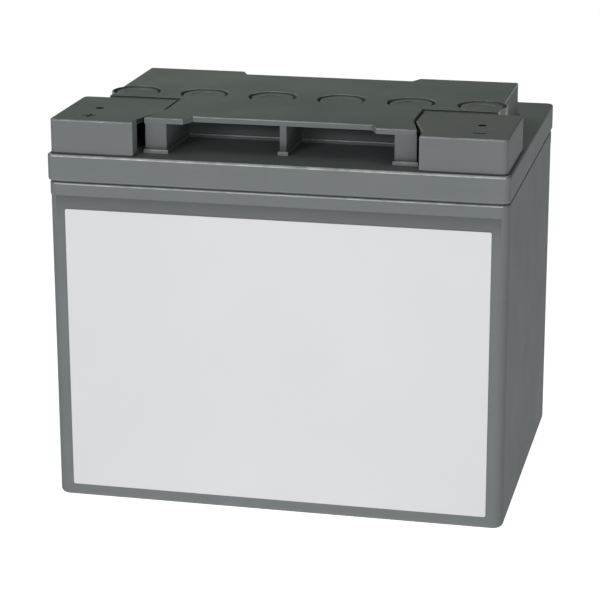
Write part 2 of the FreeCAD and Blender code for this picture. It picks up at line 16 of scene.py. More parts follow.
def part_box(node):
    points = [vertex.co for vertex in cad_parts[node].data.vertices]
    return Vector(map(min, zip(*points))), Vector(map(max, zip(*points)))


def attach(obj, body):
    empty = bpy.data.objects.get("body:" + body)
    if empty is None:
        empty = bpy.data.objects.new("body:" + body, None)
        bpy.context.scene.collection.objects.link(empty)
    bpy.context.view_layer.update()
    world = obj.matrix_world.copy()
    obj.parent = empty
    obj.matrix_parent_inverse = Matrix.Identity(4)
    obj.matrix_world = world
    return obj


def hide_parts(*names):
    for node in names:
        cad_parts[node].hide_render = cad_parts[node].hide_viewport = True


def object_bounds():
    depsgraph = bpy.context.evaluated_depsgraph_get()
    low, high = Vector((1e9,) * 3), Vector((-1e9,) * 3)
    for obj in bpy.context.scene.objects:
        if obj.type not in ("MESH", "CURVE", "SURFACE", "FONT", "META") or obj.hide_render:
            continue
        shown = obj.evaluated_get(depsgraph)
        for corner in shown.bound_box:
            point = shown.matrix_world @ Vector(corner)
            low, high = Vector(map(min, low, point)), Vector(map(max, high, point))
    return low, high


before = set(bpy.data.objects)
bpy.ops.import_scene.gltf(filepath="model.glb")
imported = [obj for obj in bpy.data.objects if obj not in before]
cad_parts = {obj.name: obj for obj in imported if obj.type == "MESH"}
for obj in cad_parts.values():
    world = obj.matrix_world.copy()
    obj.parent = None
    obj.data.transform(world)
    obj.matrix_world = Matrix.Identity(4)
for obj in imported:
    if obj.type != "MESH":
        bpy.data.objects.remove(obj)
CAD_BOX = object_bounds()

LOG = logging.getLogger("block_battery")
MM = 0.001
# Points closer than this, in metres, are one point
WELD = 1e-6
BODY = "root"
PHOTO_PIXELS = 600
# Face attributes that the plastic reads, for polished edges with a painted highlight and for painted
# shade: 0 is none, 1 is full
EDGE_POLISH_AND_HIGHLIGHT = "edge_wear"
PAINTED_SHADE = "painted_shade"
# Most values of a noise texture lie in this range
NOISE_LOW, NOISE_HIGH = 0.3, 0.7
# Height of the lower edge of the container's rim band, in millimetres
RIM_FOOT = 136.9

Outline = list[tuple[float, float]]


class Polarity(Enum):
    """The two terminals, each with the word that its nodes carry."""

    POSITIVE = "positive"
    NEGATIVE = "negative"


# Small tools


def linear(colour: str) -> tuple[float, float, float, float]:
    """Turns an sRGB hex colour into linear red, green, blue and alpha, by the numbers of the sRGB standard.

    Args:
        colour: Colour as "#RRGGBB".

    Returns:
        The linear colour with full alpha.
    """
    channels = [int(colour[i:i + 2], 16) / 255 for i in (1, 3, 5)]
    red, green, blue = (c / 12.92 if c <= 0.04045 else ((c + 0.055) / 1.055) ** 2.4 for c in channels)
    return red, green, blue, 1.0


def add_node(tree: bpy.types.NodeTree, kind: str, settings: Mapping[str, Any] | None = None,
             inputs: Mapping[str | int, Any] | None = None) -> bpy.types.Node:
    """Adds a node with its settings and links.

    Args:
        tree: Node tree that gets the node.
        kind: Type name of the node.
        settings: Properties to set.
        inputs: Values or output sockets for its inputs, by name or index.

    Returns:
        The new node.
    """
    node = tree.nodes.new(kind)
    for name, value in (settings or {}).items():
        setattr(node, name, value)
    for key, value in (inputs or {}).items():
        if isinstance(value, bpy.types.NodeSocket):
            tree.links.new(value, node.inputs[key])
        else:
            node.inputs[key].default_value = value
    return node


def per_mm(size: float) -> float:
    """Texture scale at which one feature of a pattern is so many millimetres wide."""
    return 1 / (size * MM)


def new_piece(name: str, mesh: bpy.types.Mesh) -> bpy.types.Object:
    """Links a mesh into the scene as an object at the origin.

    Args:
        name: Name of the piece.
        mesh: Its mesh, already in place.

    Returns:
        The new object.
    """
    mesh.name = name
    piece = bpy.data.objects.new(name, mesh)
    bpy.context.scene.collection.objects.link(piece)
    return piece


def settle(piece: bpy.types.Object) -> None:
    """Turns a piece's modifiers into plain mesh and removes them.

    Args:
        piece: Object whose modifiers are applied.
    """
    evaluated = piece.evaluated_get(bpy.context.evaluated_depsgraph_get())
    mesh = bpy.data.meshes.new_from_object(evaluated)
    mesh.name = piece.name
    piece.modifiers.clear()
    piece.data = mesh


def hand_in(piece: bpy.types.Object, nodes: Iterable[str] = ()) -> None:
    """Rides a finished piece on the block and says which CAD nodes it stands for.

    Args:
        piece: Finished object.
        nodes: CAD nodes that it replaces.
    """
    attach(piece, BODY)
    names = list(nodes)
    if names:
        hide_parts(*names)
    LOG.info("piece %s: %d faces, stands for %s", piece.name, len(piece.data.polygons), names or "itself")


def welded_copy(node: str, name: str) -> bpy.types.Object:
    """Copies a CAD node as one closed mesh with whole flat faces.

    Args:
        node: CAD node to copy.
        name: Name of the copy.

    Returns:
        The copy, with no sharp marks or stored normals.
    """
    flat = math.radians(0.5)
    work = bmesh.new()
    work.from_mesh(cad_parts[node].data)
    bmesh.ops.remove_doubles(work, verts=work.verts, dist=WELD)
    bmesh.ops.dissolve_limit(work, angle_limit=flat, verts=work.verts, edges=work.edges)
    mesh = bpy.data.meshes.new(name)
    work.to_mesh(mesh)
    work.free()
    for stale in ("custom_normal", "sharp_edge", "sharp_face"):
        attribute = mesh.attributes.get(stale)
        if attribute:
            mesh.attributes.remove(attribute)
    return new_piece(name, mesh)


@dataclass(frozen=True)
class Zone:
    """A box in mm, given by two corners, for polish with painted highlight, painted shade or sharp edges."""

    low: tuple[float, float, float]
    high: tuple[float, float, float]

    @classmethod
    def between(cls, low: float, high: float) -> "Zone":
        """Gives the box that takes in the whole block between two heights."""
        reach = 1000.0
        return cls((-reach, -reach, low), (reach, reach, high))

    def both_sides(self) -> tuple["Zone", "Zone"]:
        """Gives this box and its mirror image on the other side of the block."""
        return self, Zone((-self.high[0], *self.low[1:]), (-self.low[0], *self.high[1:]))

    def holds(self, point: Vector) -> bool:
        """Tells whether a point, in metres, lies in this box."""
        return all(low < at / MM < high for low, at, high in zip(self.low, point, self.high))

    def mark(self, piece: bpy.types.Object, attribute: str, value: float) -> None:
        """Sets a face attribute on the faces of a piece in this box that don't look straight up.

        Args:
            piece: Piece that gets the marks.
            attribute: Name of the face attribute.
            value: Value on the marked faces.
        """
        straight_up = 0.97
        mesh = piece.data
        marks = mesh.attributes.get(attribute) or mesh.attributes.new(attribute, "FLOAT", "FACE")
        for face, mark in zip(mesh.polygons, marks.data):
            if self.holds(face.center) and face.normal.z < straight_up:
                mark.value = value


def soften_edges(piece: bpy.types.Object, radius: float, finish: bpy.types.Material,
                 crisp: Iterable[Zone] = ()) -> None:
    """Rounds a moulding's sharp outer edges and marks those polished by handling, with a painted highlight.

    The mark is a face attribute: 1 on rounded edges that look up and to the front, 0 elsewhere. It makes
    them glossier, and paler as a painted highlight.

    Args:
        piece: Moulding to soften, as a plain mesh.
        radius: Radius of the sharp edges in millimetres.
        finish: Material of the whole piece.
        crisp: Zones in which edges stay sharp, as along a joint or on a thin rim.
    """
    sharp, smooth = math.radians(40), math.radians(35)
    # How far the normal of a polished face with painted highlight leans up, to the front and to the sides
    upward, forward, sideways = (0.05, 0.995), -0.05, 0.35
    # Numbers of the lowest and the highest corner of a bound box
    lowest, highest = 0, 6
    work = bmesh.new()
    work.from_mesh(piece.data)
    weight = work.edges.layers.float.new("bevel_weight_edge")
    for edge in work.edges:
        middle = (edge.verts[0].co + edge.verts[1].co) / 2
        turned = edge.is_convex and edge.calc_face_angle(0.0) > sharp
        edge[weight] = float(turned and not any(zone.holds(middle) for zone in crisp))
    work.to_mesh(piece.data)
    work.free()
    piece.data.materials.clear()
    piece.data.materials.append(finish)
    low, high = Vector(piece.bound_box[lowest]), Vector(piece.bound_box[highest])
    bevel = piece.modifiers.new("edge radius", "BEVEL")
    bevel.width = radius * MM
    bevel.segments = 2
    bevel.limit_method = "WEIGHT"
    bevel.use_clamp_overlap = False
    settle(piece)
    mesh = piece.data
    # A radius that is wider than its face would otherwise stand out of the piece's box
    for vertex in mesh.vertices:
        vertex.co = [min(max(at, least), most) for at, least, most in zip(vertex.co, low, high)]
    mesh.polygons.foreach_set("use_smooth", [True] * len(mesh.polygons))
    mesh.set_sharp_from_angle(angle=smooth)
    weighted = piece.modifiers.new("flat faces", "WEIGHTED_NORMAL")
    weighted.keep_sharp = True
    settle(piece)
    mesh = piece.data
    polished_and_highlighted = [float(upward[0] < face.normal.z < upward[1] and face.normal.y < forward
                  and abs(face.normal.x) < sideways) for face in mesh.polygons]
    mesh.attributes.new(EDGE_POLISH_AND_HIGHLIGHT, "FLOAT", "FACE").data.foreach_set("value", polished_and_highlighted)


# Finishes


@dataclass(frozen=True)
class Finish(ABC):
    """A real material and how its surface was made."""

    name: str

    def material(self) -> bpy.types.Material:
        """Makes the Blender material, or returns it if it is made already.

        Returns:
            The material of this finish.
        """
        made = bpy.data.materials.get(self.name)
        if made:
            return made
        made = bpy.data.materials.new(self.name)
        made.use_nodes = True
        tree = made.node_tree
        tree.nodes.clear()
        place = add_node(tree, "ShaderNodeTexCoord").outputs["Object"]
        shader = self.shade(tree, place)
        add_node(tree, "ShaderNodeOutputMaterial", inputs={"Surface": shader.outputs["BSDF"]})
        return made

    @abstractmethod
    def shade(self, tree: bpy.types.NodeTree, place: bpy.types.NodeSocket) -> bpy.types.Node:
        """Builds the nodes of the surface.

        Args:
            tree: The material's node tree.
            place: Object coordinates, in metres.

        Returns:
            The shader node.
        """


@dataclass(frozen=True)
class MouldedPlastic(Finish):
    """Injection-moulded ABS with a fine spark-eroded grain.

    It gives an even dull grey with a soft sheen at low angles, faint flow lines along the length, slight
    clouding where the melt cooled unevenly, edges polished by handling and paler as a painted highlight,
    and painted shade in seams and holes.
    """

    colour: str
    cloud: str
    # Colour of the marked edges, paler as a painted highlight
    polished_highlight: str
    # Colour of the painted shade in seams, holes and under a rim
    shade_tone: str = "#2E302F"
    roughness: float = 0.74
    roughness_spread: tuple[float, float] = (-0.03, 0.05)
    sheen_level: float = 0.15
    edge_roughness: float = 0.26
    edge_sheen: float = 1.0
    ior: float = 1.5
    # The real grain is about a tenth of a millimetre and is drawn coarser, so that it shows
    grain_mm: float = 0.55
    grain_depth_mm: float = 0.06
    grain_strength: float = 0.18
    cloud_mm: float = 34.0
    flow_mm: tuple[float, float] = (60.0, 0.8)
    flow_share: float = 0.45
    tone_range: tuple[float, float] = (0.45, 1.0)
    scuff_mm: float = 6.0
    scuff_range: tuple[float, float] = (0.3, 0.65)
    scuff_least: float = 0.45

    def paint_shade(self, tree: bpy.types.NodeTree, place: bpy.types.NodeSocket,
              skin: bpy.types.NodeSocket) -> bpy.types.NodeSocket:
        """Leaves the skin's colour as it is; a plastic with painted shade darkens it here.

        Args:
            tree: The material's node tree.
            place: Object coordinates, in metres.
            skin: Colour of the clean skin.

        Returns:
            The colour with any painted shade.
        """
        return skin

    def rubbing(self, tree: bpy.types.NodeTree, place: bpy.types.NodeSocket) -> bpy.types.NodeSocket:
        """Breaks up, with scuffs, the marks of the polished edges and their painted highlight.

        Args:
            tree: The material's node tree.
            place: Object coordinates, in metres.

        Returns:
            The share of polish and painted highlight, from 0 to 1.
        """
        edge = add_node(tree, "ShaderNodeAttribute", {"attribute_name": EDGE_POLISH_AND_HIGHLIGHT})
        scuff = add_node(tree, "ShaderNodeTexNoise", inputs={
            "Vector": place, "Scale": per_mm(self.scuff_mm), "Detail": 3.0})
        low, high = self.scuff_range
        scuffed = add_node(tree, "ShaderNodeMapRange", inputs={
            "Value": scuff.outputs["Fac"], "From Min": low, "From Max": high, "To Min": self.scuff_least})
        polish_and_highlight = add_node(tree, "ShaderNodeMath", {"operation": "MULTIPLY"}, {
            0: edge.outputs["Fac"], 1: scuffed.outputs["Result"]})
        return polish_and_highlight.outputs["Value"]

    def shade(self, tree: bpy.types.NodeTree, place: bpy.types.NodeSocket) -> bpy.types.Node:
        """Builds clouded, grained plastic with polished edges, a painted highlight on them, and painted
        shade.

        Args:
            tree: The material's node tree.
            place: Object coordinates, in metres.

        Returns:
            The shader node.
        """
        clouds = add_node(tree, "ShaderNodeTexNoise", inputs={
            "Vector": place, "Scale": per_mm(self.cloud_mm), "Detail": 4.0, "Roughness": 0.6})
        along, across = (per_mm(size) for size in self.flow_mm)
        stretched = add_node(tree, "ShaderNodeMapping", {"vector_type": "POINT"}, {
            "Vector": place, "Scale": (along, along, across)})
        flow = add_node(tree, "ShaderNodeTexNoise", inputs={
            "Vector": stretched.outputs["Vector"], "Scale": 1.0, "Detail": 2.0, "Roughness": 0.5})
        blend = add_node(tree, "ShaderNodeMath", {"operation": "MULTIPLY_ADD"}, {
            0: flow.outputs["Fac"], 1: self.flow_share, 2: clouds.outputs["Fac"]})
        low, high = self.tone_range
        tone = add_node(tree, "ShaderNodeMapRange", inputs={
            "Value": blend.outputs["Value"], "From Min": low, "From Max": high})
        body = add_node(tree, "ShaderNodeMix", {"data_type": "RGBA"}, {
            "Factor": tone.outputs["Result"], "A": linear(self.colour), "B": linear(self.cloud)})
        polish_and_highlight = self.rubbing(tree, place)
        # The marked edges take a paler colour, which is a painted highlight
        skin = add_node(tree, "ShaderNodeMix", {"data_type": "RGBA"}, {
            "Factor": polish_and_highlight, "A": body.outputs["Result"], "B": linear(self.polished_highlight)})
        # Painted shade in seams and holes, which also takes away their sheen
        painted_shade = add_node(tree, "ShaderNodeAttribute", {"attribute_name": PAINTED_SHADE})
        shaded_skin = add_node(tree, "ShaderNodeMix", {"data_type": "RGBA"}, {
            "Factor": painted_shade.outputs["Fac"], "A": skin.outputs["Result"], "B": linear(self.shade_tone)})
        smoother, rougher = (self.roughness + spread for spread in self.roughness_spread)
        gloss = add_node(tree, "ShaderNodeMapRange", inputs={
            "Value": clouds.outputs["Fac"], "From Min": NOISE_LOW, "From Max": NOISE_HIGH,
            "To Min": smoother, "To Max": rougher})
        polished = add_node(tree, "ShaderNodeMath", {"operation": "MULTIPLY_ADD"}, {
            0: polish_and_highlight, 1: self.edge_roughness - self.roughness, 2: gloss.outputs["Result"]})
        sheen = add_node(tree, "ShaderNodeMapRange", inputs={
            "Value": polish_and_highlight, "To Min": self.sheen_level, "To Max": self.edge_sheen})
        # Share of the surface without painted shade
        clean = add_node(tree, "ShaderNodeMath", {"operation": "SUBTRACT"}, {
            0: 1.0, 1: painted_shade.outputs["Fac"]})
        dulled = add_node(tree, "ShaderNodeMath", {"operation": "MULTIPLY"}, {
            0: sheen.outputs["Result"], 1: clean.outputs["Value"]})
        grain = add_node(tree, "ShaderNodeTexNoise", inputs={
            "Vector": place, "Scale": per_mm(self.grain_mm), "Detail": 2.0, "Roughness": 0.55})
        relief = add_node(tree, "ShaderNodeBump", inputs={
            "Strength": self.grain_strength, "Distance": self.grain_depth_mm * MM,
            "Height": grain.outputs["Fac"]})
        return add_node(tree, "ShaderNodeBsdfPrincipled", inputs={
            "Base Color": self.paint_shade(tree, place, shaded_skin.outputs["Result"]),
            "Roughness": polished.outputs["Value"], "IOR": self.ior,
            "Specular IOR Level": dulled.outputs["Value"], "Normal": relief.outputs["Normal"]})


@dataclass(frozen=True)
class RimmedPlastic(MouldedPlastic):
    """Moulded plastic with a painted shade under a rim, darkest right below it.

    It gives the soft dark line that sets the rim band off from the wall below it. The painted shade lies
    below the height rim_mm and further than wall_mm from the middle, so on the front and back walls only.
    """

    rim_mm: float = 0.0
    wall_mm: float = 0.0
    shade_depth: float = 0.47
    shade_fade_mm: float = 6.5

    def paint_shade(self, tree: bpy.types.NodeTree, place: bpy.types.NodeSocket,
              skin: bpy.types.NodeSocket) -> bpy.types.NodeSocket:
        """Paints shade on the wall below the rim, less and less downwards.

        Args:
            tree: The material's node tree.
            place: Object coordinates, in metres.
            skin: Colour of the clean skin.

        Returns:
            The colour with the painted shade.
        """
        axes = add_node(tree, "ShaderNodeSeparateXYZ", inputs={"Vector": place})
        drop = add_node(tree, "ShaderNodeMath", {"operation": "SUBTRACT"}, {
            0: axes.outputs["Z"], 1: self.rim_mm * MM})
        below = add_node(tree, "ShaderNodeMath", {"operation": "LESS_THAN"}, {
            0: drop.outputs["Value"], 1: 0.0})
        faded = add_node(tree, "ShaderNodeMath", {"operation": "MULTIPLY"}, {
            0: drop.outputs["Value"], 1: per_mm(self.shade_fade_mm)})
        # The painted shade fades away downwards from the rim
        film = add_node(tree, "ShaderNodeMath", {"operation": "EXPONENT"}, {0: faded.outputs["Value"]})
        across = add_node(tree, "ShaderNodeMath", {"operation": "ABSOLUTE"}, {0: axes.outputs["Y"]})
        outside = add_node(tree, "ShaderNodeMath", {"operation": "GREATER_THAN"}, {
            0: across.outputs["Value"], 1: self.wall_mm * MM})
        share = self.shade_depth
        for part in (film, below, outside):
            share = add_node(tree, "ShaderNodeMath", {"operation": "MULTIPLY"}, {
                0: part.outputs["Value"], 1: share}).outputs["Value"]
        shaded_wall = add_node(tree, "ShaderNodeMix", {"data_type": "RGBA"}, {
            "Factor": share, "A": skin, "B": linear(self.shade_tone)})
        return shaded_wall.outputs["Result"]


@dataclass(frozen=True)
class LabelFilm(Finish):
    """Matt-laminated polypropylene label film.

    It gives a clean pale sheet, barely visible orange peel and a dull sheen.
    """

    colour: str
    shade_colour: str
    haze_mm: float = 45.0
    peel_mm: float = 1.6
    peel_depth_mm: float = 0.04
    peel_strength: float = 0.08
    roughness: float = 0.5
    roughness_spread: float = 0.04
    ior: float = 1.49

    def shade(self, tree: bpy.types.NodeTree, place: bpy.types.NodeSocket) -> bpy.types.Node:
        """Builds a pale film with orange peel.

        Args:
            tree: The material's node tree.
            place: Object coordinates, in metres.

        Returns:
            The shader node.
        """
        haze = add_node(tree, "ShaderNodeTexNoise", inputs={
            "Vector": place, "Scale": per_mm(self.haze_mm), "Detail": 3.0})
        film = add_node(tree, "ShaderNodeMix", {"data_type": "RGBA"}, {
            "Factor": haze.outputs["Fac"], "A": linear(self.colour), "B": linear(self.shade_colour)})
        peel = add_node(tree, "ShaderNodeTexNoise", inputs={
            "Vector": place, "Scale": per_mm(self.peel_mm), "Detail": 1.0})
        gloss = add_node(tree, "ShaderNodeMapRange", inputs={
            "Value": haze.outputs["Fac"], "From Min": NOISE_LOW, "From Max": NOISE_HIGH,
            "To Min": self.roughness - self.roughness_spread,
            "To Max": self.roughness + self.roughness_spread})
        relief = add_node(tree, "ShaderNodeBump", inputs={
            "Strength": self.peel_strength, "Distance": self.peel_depth_mm * MM,
            "Height": peel.outputs["Fac"]})
        return add_node(tree, "ShaderNodeBsdfPrincipled", inputs={
            "Base Color": film.outputs["Result"], "Roughness": gloss.outputs["Result"], "IOR": self.ior,
            "Normal": relief.outputs["Normal"]})


@dataclass(frozen=True)
class GrainyFinish(Finish):
    """A material that is told by its colour, its grain and its sheen, as lead, brass, rubber and ink are."""

    colour: str
    fleck: str
    grain_mm: float
    roughness: float
    roughness_spread: float = 0.06
    metallic: float = 0.0
    sheen_level: float = 0.5
    fleck_range: tuple[float, float] = (0.35, 0.7)
    relief_mm: float = 0.05
    relief_strength: float = 0.4

    def shade(self, tree: bpy.types.NodeTree, place: bpy.types.NodeSocket) -> bpy.types.Node:
        """Builds a flecked, grained surface.

        Args:
            tree: The material's node tree.
            place: Object coordinates, in metres.

        Returns:
            The shader node.
        """
        grain = add_node(tree, "ShaderNodeTexNoise", inputs={
            "Vector": place, "Scale": per_mm(self.grain_mm), "Detail": 4.0, "Roughness": 0.6})
        low, high = self.fleck_range
        flecks = add_node(tree, "ShaderNodeMapRange", inputs={
            "Value": grain.outputs["Fac"], "From Min": low, "From Max": high})
        skin = add_node(tree, "ShaderNodeMix", {"data_type": "RGBA"}, {
            "Factor": flecks.outputs["Result"], "A": linear(self.colour), "B": linear(self.fleck)})
        gloss = add_node(tree, "ShaderNodeMapRange", inputs={
            "Value": grain.outputs["Fac"], "From Min": NOISE_LOW, "From Max": NOISE_HIGH,
            "To Min": self.roughness - self.roughness_spread,
            "To Max": self.roughness + self.roughness_spread})
        relief = add_node(tree, "ShaderNodeBump", inputs={
            "Strength": self.relief_strength, "Distance": self.relief_mm * MM,
            "Height": grain.outputs["Fac"]})
        return add_node(tree, "ShaderNodeBsdfPrincipled", inputs={
            "Base Color": skin.outputs["Result"], "Roughness": gloss.outputs["Result"],
            "Metallic": self.metallic, "Specular IOR Level": self.sheen_level,
            "Normal": relief.outputs["Normal"]})


# Even dull grey; polished edges paler as a painted highlight; painted shade in a soft strip under the rim
CASE_PLASTIC = RimmedPlastic(
    "ABS grey spark-eroded", "#727678", "#6D7172", "#A2A6A6", rim_mm=RIM_FOOT, wall_mm=73.0)
# The same grey, a shade darker, with less shine and a fainter painted highlight on its polished edges
COVER_PLASTIC = MouldedPlastic(
    "ABS grey spark-eroded cover", "#707475", "#6B6F6F", "#808484", edge_sheen=0.85)
# Clean pale sheet with a dull sheen
LABEL_FILM = LabelFilm("polypropylene film matt laminated", "#D2D2D4", "#CFCFD2")
# Flat black
VALVE_RUBBER = GrainyFinish("EPDM rubber moulded", "#1F2021", "#2A2B2C", grain_mm=0.6, roughness=0.75)
# Warm, tinned sheen
TERMINAL_BRASS = GrainyFinish(
    "brass turned and tinned", "#B9AE93", "#CFC8B4", grain_mm=0.4, roughness=0.32,
    metallic=1.0, relief_mm=0.01)
# Dull brown with a coarse crystalline grain
POSITIVE_LEAD = GrainyFinish(
    "lead dioxide paste on cast grid", "#4A362B", "#5C463A", grain_mm=0.8, roughness=0.8)
# Dull grey with a coarse crystalline grain
NEGATIVE_LEAD = GrainyFinish("sponge lead on cast grid", "#70747A", "#868A90", grain_mm=0.8, roughness=0.6)
# White felt of fibres
GLASS_MAT = GrainyFinish("glass mat laid fibre", "#E6E7E4", "#D6D8D4", grain_mm=0.3, roughness=0.9)
# Almost black, with no shine
MARK_INK = GrainyFinish(
    "dark grey ink pad-printed", "#262826", "#303230", grain_mm=0.5, roughness=0.9, sheen_level=0.05)


# Sub-assemblies of the block


@dataclass
class Case:
    """Container and lid, two mouldings with a dark joint between them.

    Their edges stay sharp at the joint and at the rim's foot. The ledges under the bar's legs get the
    edge mark, which paints a highlight on them.
    """

    edge: float = 0.25
    joint: Zone = Zone.between(142.0, 144.0)
    rim_foot: Zone = Zone.between(RIM_FOOT - 0.1, RIM_FOOT + 0.1)
    ledges: Zone = Zone((-57.0, -64.5, 154.75), (57.0, -56.5, 156.5))

    def build(self) -> None:
        """Dresses both mouldings in the case plastic."""
        finish = CASE_PLASTIC.material()
        for node in ("container", "lid"):
            piece = welded_copy(node, f"{node}_moulding")
            soften_edges(piece, self.edge, finish, (self.joint, self.rim_foot))
            # The edge mark on the ledges is a painted highlight
            self.ledges.mark(piece, EDGE_POLISH_AND_HIGHLIGHT, 1.0)
            hand_in(piece, [node])


@dataclass
class VentRow:
    """Six round vent plugs, each turned from the same profile, made by one Geometry Nodes tree."""

    count: int = 6
    edge: float = 0.12
    facets: int = 96
    sizes: dict[str, float] = field(default_factory=dict)

    def measure(self) -> None:
        """Reads the row's place and the plug's profile from the CAD plugs."""
        micrometre = 6
        first, last = (sum(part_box(f"vent_plug_{i}"), Vector()) / 2 for i in (1, self.count))
        # How far the plug's points are from its axis, at each height
        rings: dict[float, list[float]] = {}
        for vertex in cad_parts["vent_plug_1"].data.vertices:
            radius = (vertex.co - first).to_2d().length
            rings.setdefault(round(vertex.co.z, micrometre), []).append(radius)
        foot, seat, groove, dish, top = sorted(rings)
        self.sizes = {
            "First X": first.x, "Row Y": first.y, "Pitch": (last.x - first.x) / (self.count - 1),
            "Foot Z": foot, "Stem Radius": max(rings[foot]), "Stem Height": seat - foot,
            "Rim Radius": max(rings[groove]), "Flange Height": groove - seat,
            "Disc Radius": max(rings[top]), "Disc Height": top - groove,
            "Dish Radius": max(rings[dish]), "Dish Drop": dish - top,
        }

    def plug(self, tree: bpy.types.NodeTree,
             size: bpy.types.bpy_prop_collection) -> bpy.types.NodeSocket:
        """Adds the nodes of one plug: a disc raised and stepped from its foot upwards, and closed below.

        Args:
            tree: Node tree that gets the nodes.
            size: The tree's inputs, by name.

        Returns:
            The socket with the closed plug, its foot at the origin.
        """
        disc = add_node(tree, "GeometryNodeMeshCircle", {"fill_type": "NGON"}, {
            "Vertices": self.facets, "Radius": size["Stem Radius"]})
        steps = (("Stem Height", None), (None, ("Stem Radius", "Rim Radius")),
                 ("Flange Height", None), (None, ("Rim Radius", "Disc Radius")),
                 ("Disc Height", None), (None, ("Disc Radius", "Dish Radius")), ("Dish Drop", None))
        mesh, top = disc.outputs["Mesh"], None
        for rise, radii in steps:
            lift = add_node(tree, "GeometryNodeExtrudeMesh", {"mode": "FACES"}, {
                "Mesh": mesh, "Offset Scale": size[rise] if rise else 0.0, "Individual": False})
            if top is not None:
                tree.links.new(top, lift.inputs["Selection"])
            mesh, top = lift.outputs["Mesh"], lift.outputs["Top"]
            if radii is not None:
                share = add_node(tree, "ShaderNodeMath", {"operation": "DIVIDE"}, {
                    0: size[radii[1]], 1: size[radii[0]]})
                mesh = add_node(tree, "GeometryNodeScaleElements", {"domain": "FACE"}, {
                    "Geometry": mesh, "Selection": top, "Scale": share.outputs["Value"]}).outputs["Geometry"]
        foot = add_node(tree, "GeometryNodeFlipFaces", inputs={"Mesh": disc.outputs["Mesh"]})
        both = add_node(tree, "GeometryNodeJoinGeometry", inputs={"Geometry": mesh})
        tree.links.new(foot.outputs["Mesh"], both.inputs["Geometry"])
        closed = add_node(tree, "GeometryNodeMergeByDistance", inputs={
            "Geometry": both.outputs["Geometry"], "Distance": WELD})
        return closed.outputs["Geometry"]

    def tree(self, finish: bpy.types.Material) -> bpy.types.NodeTree:
        """Builds the tree that repeats the plug along the row.

        Args:
            finish: Material that the tree sets.

        Returns:
            The node group, with one named input for each size.
        """
        tree = bpy.data.node_groups.new("vent plug row", "GeometryNodeTree")
        tree.interface.new_socket("Geometry", in_out="OUTPUT", socket_type="NodeSocketGeometry")
        for name in self.sizes:
            tree.interface.new_socket(name, in_out="INPUT", socket_type="NodeSocketFloat")
        size = add_node(tree, "NodeGroupInput").outputs
        start = add_node(tree, "ShaderNodeCombineXYZ", inputs={
            "X": size["First X"], "Y": size["Row Y"], "Z": size["Foot Z"]})
        step = add_node(tree, "ShaderNodeCombineXYZ", inputs={"X": size["Pitch"]})
        row = add_node(tree, "GeometryNodeMeshLine", inputs={
            "Count": self.count, "Start Location": start.outputs["Vector"],
            "Offset": step.outputs["Vector"]})
        plugs = add_node(tree, "GeometryNodeInstanceOnPoints", inputs={
            "Points": row.outputs["Mesh"], "Instance": self.plug(tree, size)})
        real = add_node(tree, "GeometryNodeRealizeInstances", inputs={"Geometry": plugs.outputs["Instances"]})
        dressed = add_node(tree, "GeometryNodeSetMaterial", inputs={
            "Geometry": real.outputs["Geometry"], "Material": finish})
        add_node(tree, "NodeGroupOutput", inputs={"Geometry": dressed.outputs["Geometry"]})
        return tree

    def build(self) -> None:
        """Makes the row and hands it in for the CAD plugs."""
        self.measure()
        finish = COVER_PLASTIC.material()
        piece = new_piece("vent_plugs", bpy.data.meshes.new("vent_plugs"))
        nodes = piece.modifiers.new("vent plug row", "NODES")
        nodes.node_group = self.tree(finish)
        for item in nodes.node_group.interface.items_tree:
            if item.in_out == "INPUT":
                nodes[item.identifier] = self.sizes[item.name]
        settle(piece)
        soften_edges(piece, self.edge, finish)
        hand_in(piece, [f"vent_plug_{i + 1}" for i in range(self.count)])


@dataclass
class LiftingBar:
    """Top cover with its lips, legs and rib, and the row of vent plugs.

    Its edges stay sharp on the thin rims of the end vents. The seams behind the caps get painted shade,
    and the front corners and upper edges of its two ends get the edge mark, which paints a highlight.
    """

    edge: float = 0.2
    thin_rim: Zone = Zone((82.0, -22.0, 160.0), (90.0, 3.0, 171.0))
    seam: Zone = Zone((-90.0, -23.6, 168.0), (90.0, -22.8, 170.5))
    seam_painted_shade: float = 0.9
    end_corner: Zone = Zone((86.2, -23.0, 156.0), (88.78, -11.0, 170.5))
    end_edge: Zone = Zone((86.2, -23.0, 169.6), (89.0, 42.5, 170.5))
    vents: VentRow = field(default_factory=VentRow)

    def build(self) -> None:
        """Dresses the bar and sets the vent plugs in it."""
        piece = welded_copy("top_cover", "lifting_bar")
        soften_edges(piece, self.edge, COVER_PLASTIC.material(), self.thin_rim.both_sides())
        # The seams behind the caps lose the painted highlight and get painted shade
        self.seam.mark(piece, EDGE_POLISH_AND_HIGHLIGHT, 0.0)
        self.seam.mark(piece, PAINTED_SHADE, self.seam_painted_shade)
        # Painted highlight on the front corners and upper edges of the bar's ends
        for zone in (*self.end_corner.both_sides(), *self.end_edge.both_sides()):
            zone.mark(piece, EDGE_POLISH_AND_HIGHLIGHT, 1.0)
        hand_in(piece, ["top_cover"])
        self.vents.build()


